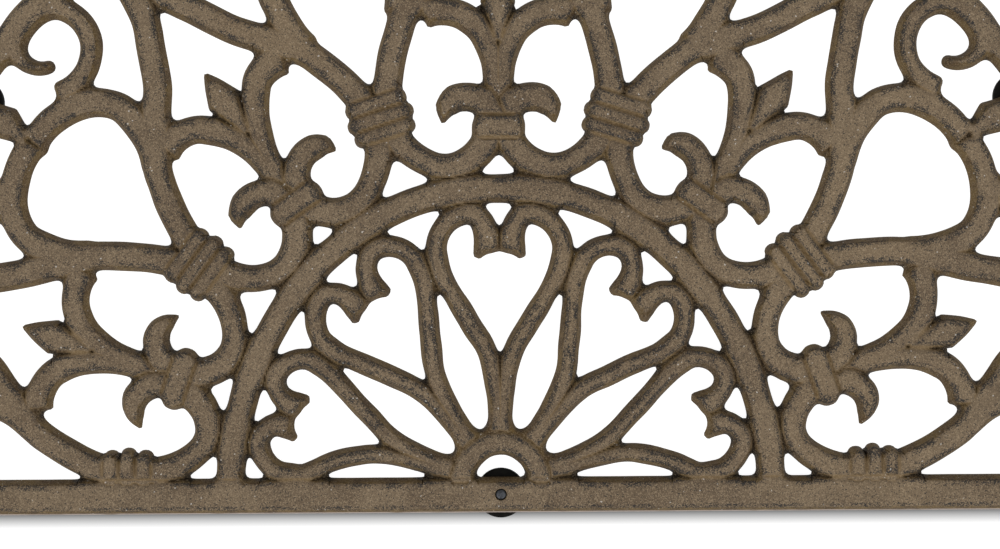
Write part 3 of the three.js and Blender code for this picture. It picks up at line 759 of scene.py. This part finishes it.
columns, top_layer = layers.shape[1], len(layers) - 1
face_faces, _ = triangulate(np.concatenate([layers[-1], lattice]), pairs)
base_faces, _ = triangulate(layers[0], pairs)
low = pairs + columns * np.arange(top_layer)[:, None, None]
wall_faces = np.concatenate([
    np.stack([low[..., 0], low[..., 1], low[..., 1] + columns], -1).reshape(-1, 3),
    np.stack([low[..., 0], low[..., 1] + columns, low[..., 0] + columns], -1).reshape(-1, 3)])
casting_faces = np.concatenate([wall_faces, face_faces + top_layer * columns, base_faces[:, ::-1]])
casting_plan = np.concatenate([layers.reshape(-1, 2), lattice])
used = np.isin(np.arange(len(casting_plan)), casting_faces)
casting_plan, casting_faces = casting_plan[used], (np.cumsum(used) - 1)[casting_faces]
casting_height = np.concatenate([heights.reshape(-1), sample(face_field, lattice)])[used]
casting_crest = np.concatenate([crests.reshape(-1), sample(crest_field, lattice)])[used]
# the painted shade of the openings' corners, at each point of the mesh
casting_corner_shade = sample(corner_shade_field, casting_plan)


SHARP_EDGE = math.radians(38)     # edges that turn by less are shaded smoothly


def add_piece(name, points, faces, material, node_name):
    """A piece from points in millimetres in the mat's frame and rows of point numbers. It rides on
    the mat's one body and stands for a node of the solid model."""
    mesh = bpy.data.meshes.new(name)
    mesh.from_pydata(points * MM, [], faces.tolist())
    mesh.shade_smooth()
    mesh.set_sharp_from_angle(angle=SHARP_EDGE)
    mesh.materials.append(material)
    piece = bpy.data.objects.new(name, mesh)
    scene.collection.objects.link(piece)
    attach(piece, "root")
    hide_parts(node_name)
    return piece


# The casting: its finish
# The iron has a matt rust-brown coat, with the speckle of the sand that it was cast in. It is rubbed
# through to dark blue-grey iron in broken bands just inside the edges of each face, and the leaning
# walls keep a yellower brown. Painted shade turns them nearly black in the openings' corners and
# darkens their feet, and a painted highlight runs along the bar's lower front edge.
cast_iron, tree, out = new_material("sand_cast_iron_rust_brown_coat")
coordinates = node(tree, "TexCoord", output="Object")
SMOOTH = {"interpolation_type": "SMOOTHSTEP"}
MIX = {"data_type": "RGBA"}       # such a node mixes its inputs 6 and 7 by input 0, into output 2
TIMES = {"operation": "MULTIPLY"}


def blotches(size, detail, roughness, low=0.0, high=1.0, most=1.0):
    """Soft blotches about size millimetres across in the material at hand: fractal noise, stretched
    smoothly so that low becomes 0 and high becomes most."""
    noise = node(tree, "TexNoise", {
        "Scale": 1 / (size * MM), "Detail": detail, "Roughness": roughness}, {"Vector": coordinates})
    return node(tree, "MapRange", {**SMOOTH, "From Min": low, "From Max": high, "To Max": most},
                {"Value": noise})


def mottled(first, second, size, detail=3):
    """A colour that goes from one hex code to another in soft blotches about size millimetres
    across."""
    return node(tree, "Mix", {**MIX, 6: linear(first), 7: linear(second)},
                {0: blotches(size, detail, 0.6, 0.35, 0.65)}, 2)


def sand_grains(size, seed):
    """One random value for each grain of sand, size millimetres across: a Voronoi cell's colour."""
    place = node(tree, "VectorMath", {"operation": "ADD", 1: (seed, 0, 0)}, {0: coordinates})
    cell = node(tree, "TexVoronoi", {"Scale": 1 / (size * MM)}, {"Vector": place}, "Color")
    return node(tree, "SeparateColor", links={0: cell})


# Where each thing shows: a share that goes smoothly from 0 at the first value to the last number at
# the second. Crest and corner are the attributes of the mesh above, and heights are over the casting's
# underside. Casting sand is 0.2 to 0.4 mm coarse; its grains are drawn 0.45 to 0.7 mm wide, about a
# pixel of the view, so that they show.
WALL_TOP, WALL_BLEND = 8.8, 2.0
HIGHLIGHT_REACH, HIGHLIGHT_BLEND = 1.2, 0.4         # from the bar's front edge: the reach of a painted highlight along its lower rim
crest = node(tree, "Attribute", {"attribute_name": "crest"}, output="Fac")
corner = node(tree, "Attribute", {"attribute_name": "corner"}, output="Fac")
forward = node(tree, "SeparateXYZ", links={0: coordinates}, output="Y")
height = node(tree, "SeparateXYZ", links={0: coordinates}, output="Z")
normal = node(tree, "NewGeometry", output="Normal")
upward = node(tree, "SeparateXYZ", links={0: normal}, output="Z")
wall_top = (CASTING_LOW + WALL_TOP) * MM
highlight_end = FRONT_EDGE + HIGHLIGHT_REACH * MM
shown = {name: node(tree, "MapRange", {
    **SMOOTH, "From Min": low, "From Max": high, "To Max": most}, {"Value": value})
    for name, value, low, high, most in (
        ("wall", height, wall_top, wall_top - WALL_BLEND * MM, 1.0),
        ("lean", upward, 0.8, 0.45, 1.0),
        # painted shade: the openings' corners, where more iron stands round a point
        ("corner", corner, 0.025, 0.12, 0.92),
        # painted shade: the feet of walls, where the face lies far below its surroundings
        ("foot of a wall", crest, -0.5, -1.3, 0.6),
        ("crease", crest, -0.15, -0.45, 0.4),
        ("no crease", crest, -0.4, 0.0, 1.0),
        ("ridge", crest, 0.16, 0.52, 1.0),
        # painted highlight along the bar's lower front edge
        ("front_highlight", forward, highlight_end, highlight_end - HIGHLIGHT_BLEND * MM, 1.0),
        ("dark grain", sand_grains(0.45, 0), 0.5, 1.0, 0.37),
        ("pale grain", sand_grains(0.5, 1), 0.55, 1.0, 0.28),
        ("bright grain", sand_grains(0.7, 3), 0.9975, 0.998, 0.5))}
no_wall = node(tree, "MapRange", {**SMOOTH, "From Min": 1.0, "From Max": 0.0},
               {"Value": shown["wall"]})
steep = node(tree, "Math", {"operation": "MAXIMUM"}, {0: shown["lean"], 1: shown["wall"]})
# painted shade at the feet of the walls, low in the casting
wall_foot_shade = node(tree, "Math", TIMES, {0: shown["foot of a wall"], 1: shown["wall"]})
crease = node(tree, "Math", TIMES, {0: shown["crease"], 1: no_wall})
# painted highlight along the bar's lower front edge, in soft blotches
front_highlight = node(tree, "Math", TIMES, {0: shown["front_highlight"], 1: blotches(25, 2, 0.5, 0.2, 0.5, 0.85)})

# Wear runs along the ridges in patches, and less at the bar's front, where feet seldom rub. Each
# grain of sand is either bare or still coated.
front = node(tree, "MapRange", {
    **SMOOTH, "From Min": FRONT_EDGE + 3 * MM, "From Max": FRONT_EDGE + 5 * MM, "To Min": 0.45},
    {"Value": forward})
worn = shown["ridge"]
for share in (blotches(16.67, 3, 0.6, 0.36, 0.56), front):
    worn = node(tree, "Math", TIMES, {0: worn, 1: share})
worn = node(tree, "Math", {"operation": "MULTIPLY_ADD", 1: 0.6}, {0: worn, 2: sand_grains(0.5, 2)})
worn = node(tree, "MapRange", {
    **SMOOTH, "From Min": 0.93, "From Max": 0.97, "To Max": 0.85}, {"Value": worn})
for share in (shown["no crease"], no_wall):
    worn = node(tree, "Math", TIMES, {0: worn, 1: share})

coat = mottled("#71614d", "#5e4f3e", 35.71, 4)
coat = node(tree, "Mix", {**MIX, 7: linear("#7e6c54")},
            {0: blotches(142.9, 2, 0.5, 0.5, 0.7, 0.5), 6: coat}, 2)
wall = mottled("#685432", "#4c3a23", 11.11)
# painted shade: the walls turn nearly black in the openings' corners
wall = node(tree, "Mix", {**MIX, 7: linear("#130c04")}, {0: shown["corner"], 6: wall}, 2)
colour = node(tree, "Mix", MIX, {0: steep, 6: coat, 7: wall}, 2)
for tone, share in (
        # painted shade at the feet of the walls
        ("#1c130a", wall_foot_shade),
        ("#2b241b", shown["dark grain"]),
        ("#c4ae8e", shown["pale grain"]),
        ("#836c48", crease),      # a yellower coat where two strokes meet
        ("#1d2023", worn),        # bare iron
        ("#d8d4cc", shown["bright grain"]),
        ("#bcaea5", front_highlight)):        # a painted highlight along the bar's lower front edge
    colour = node(tree, "Mix", {**MIX, 7: linear(tone)}, {0: share, 6: colour}, 2)

# The skin is rough from the sand, drawn 1 mm coarse, and gently lumpy from the mould.
rough = node(tree, "Bump", {"Strength": 0.5, "Distance": 0.3 * MM},
             {"Height": blotches(1, 2, 0.7)})
lumpy = node(tree, "Bump", {"Strength": 0.6, "Distance": 0.8 * MM},
             {"Height": blotches(7.143, 3, 0.5), "Normal": rough})
surface = node(tree, "BsdfPrincipled", {"Roughness": 0.78, "Specular IOR Level": 0.25},
               {"Base Color": colour, "Normal": lumpy})
tree.links.new(surface, out.inputs["Surface"])

casting_points = np.column_stack([casting_plan - (0, PLAN_MIDDLE), casting_height + CASTING_LOW])
casting = add_piece(
    "cast_grille", np.clip(casting_points, np.array(cad_low) / MM, np.array(cad_high) / MM),
    casting_faces, cast_iron, "openwork_casting")
# the corner attribute carries the painted shade of the openings' corners
for name, values in (("crest", casting_crest), ("corner", casting_corner_shade)):
    casting.data.attributes.new(name, "FLOAT", "POINT").data.foreach_set("value", values.astype(np.float32))


# The feet: screws
# In each of seven places a zinc-plated pan-head screw comes up through a rubber pad and a washer
# into the casting. Its end, ground flush, shows in the face.
FOOT_NAMES = ["bar_left", "bar_middle", "bar_right",
              "rim_left", "rim_top_left", "rim_top_right", "rim_right"]
STEEL_SIDES = 48
SCREW_PROFILE = [                 # radius and height from the floor, from the dent in the head
    (0, 1.5), (1.0, 1.35), (2.0, 0.75), (2.9, 0.55), (3.9, 0.5), (4.7, 0.75), (5.1, 1.2), (5.25, 1.7),
    (5.25, 2.3), (3.05, 2.3), (2.95, 2.5), (2.95, 14.0), (2.75, 14.4), (2.35, 14.75), (1.2, 14.95),
    (0, 15.0)]


def turned(profile, sides):
    """The surface that a profile of radii and heights sweeps in a full turn: at each angle a point
    lies at radius times cosine, radius times sine, height. The profile runs with the piece on its
    left, so that faces look outwards. One that starts at radius 0 also ends there, in a single
    point at either end, and any other is a closed loop."""
    radius, height = np.array(profile, float).T
    angle = np.arange(sides) * 2 * math.pi / sides
    closed = radius[0] > 0
    if not closed:
        radius, height = radius[1:-1], height[1:-1]
    points = np.stack([radius[:, None] * np.cos(angle), radius[:, None] * np.sin(angle),
                       np.repeat(height[:, None], sides, 1)], -1).reshape(-1, 3)
    rows = np.arange(len(radius) if closed else len(radius) - 1)[:, None] * sides
    next_rows = (rows + sides) % (len(radius) * sides)
    first = np.arange(sides)
    after = (first + 1) % sides
    faces = np.concatenate([
        np.stack([rows + first, rows + after, next_rows + after], -1).reshape(-1, 3),
        np.stack([rows + first, next_rows + after, next_rows + first], -1).reshape(-1, 3)])
    if not closed:
        lower, upper = len(points), len(points) + 1
        last = (len(radius) - 1) * sides
        points = np.concatenate([points, [[0, 0, profile[0][1]], [0, 0, profile[-1][1]]]])
        faces = np.concatenate([
            faces, np.stack([np.full(sides, lower), after, first], -1),
            np.stack([np.full(sides, upper), last + first, last + after], -1)])
    return points, faces


def add_at_feet(piece_name, profile, sides, material, node_name):
    """One turned piece of the profile in each of the seven places."""
    points, faces = turned(profile, sides)
    for name, (x, y) in zip(FOOT_NAMES, feet):
        add_piece(piece_name + name, points + (x, y - PLAN_MIDDLE, 0), faces, material,
                  node_name + name)


# Dull zinc over steel: a dark, half-matt grey with faint scratches. Real zinc clouds and scratches
# are a tenth of a millimetre wide, and are drawn about a millimetre wide so that they show.
dark_steel, tree, out = new_material("oxidised_zinc_plated_steel")
coordinates = node(tree, "TexCoord", output="Object")
colour = mottled("#4a4c50", "#2f3033", 1.111)
scratched = node(tree, "Bump", {"Strength": 0.4, "Distance": 0.1 * MM},
                 {"Height": blotches(0.6667, 2, 0.55)})
surface = node(tree, "BsdfPrincipled", {"Metallic": 0.7, "Roughness": 0.5},
               {"Base Color": colour, "Normal": scratched})
tree.links.new(surface, out.inputs["Surface"])
add_at_feet("pan_head_screw_", SCREW_PROFILE, STEEL_SIDES, dark_steel, "foot_screw_")


# The feet: washers
# A washer punched from zinc-plated sheet, 14 mm across, spreads the screw's head on the rubber.
# The zinc is clouded, so the eye sees a pale, uneven shine; the clouds are drawn 2 mm wide.
WASHER_PROFILE = [(3.3, 2.75), (3.45, 2.6), (6.8, 2.6), (7.0, 2.8), (7.0, 3.45), (6.85, 3.6),
                  (3.45, 3.6), (3.3, 3.45)]
zinc, tree, out = new_material("zinc_plated_pressed_steel")
coordinates = node(tree, "TexCoord", output="Object")
colour = mottled("#9a9ca0", "#74767a", 2.5)
clouded = node(tree, "MapRange", {"To Min": 0.35, "To Max": 0.55},
               {"Value": blotches(1.667, 2, 0.55)})
surface = node(tree, "BsdfPrincipled", {"Metallic": 1.0},
               {"Base Color": colour, "Roughness": clouded})
tree.links.new(surface, out.inputs["Surface"])
add_at_feet("pressed_washer_", WASHER_PROFILE, STEEL_SIDES, zinc, "foot_washer_")


# The feet: rubber pads
# Moulded black rubber discs, 28 mm across, with a recess for the washer and the screw's head.
# The moulded skin is dull and slightly dimpled, so it looks a flat black with hardly any shine.
# Its dimples, a few tenths of a millimetre in rubber, are drawn 1.4 mm wide.
RUBBER_SIDES = 64
PAD_PROFILE = [
    (3.3, 4.0), (3.4, 3.9), (7.1, 3.9), (7.3, 3.7), (7.3, 0.35), (7.65, 0), (13.0, 0), (13.5, 0.15),
    (13.85, 0.5), (14, 1.0), (14, 4.3), (13.85, 4.9), (13.5, 5.25), (13.0, 5.4), (10.2, 5.4),
    (9.9, 5.3), (9.6, 5.4), (3.4, 5.4), (3.3, 5.3)]
rubber, tree, out = new_material("moulded_black_rubber")
coordinates = node(tree, "TexCoord", output="Object")
colour = mottled("#080706", "#100f0c", 3.333, 4)
dimpled = node(tree, "Bump", {"Strength": 0.5, "Distance": 0.2 * MM},
               {"Height": blotches(1.429, 2, 0.55)})
surface = node(tree, "BsdfPrincipled", {"Roughness": 0.85, "Specular IOR Level": 0.15},
               {"Base Color": colour, "Normal": dimpled})
tree.links.new(surface, out.inputs["Surface"])
add_at_feet("moulded_pad_", PAD_PROFILE, RUBBER_SIDES, rubber, "foot_pad_")

low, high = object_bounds()
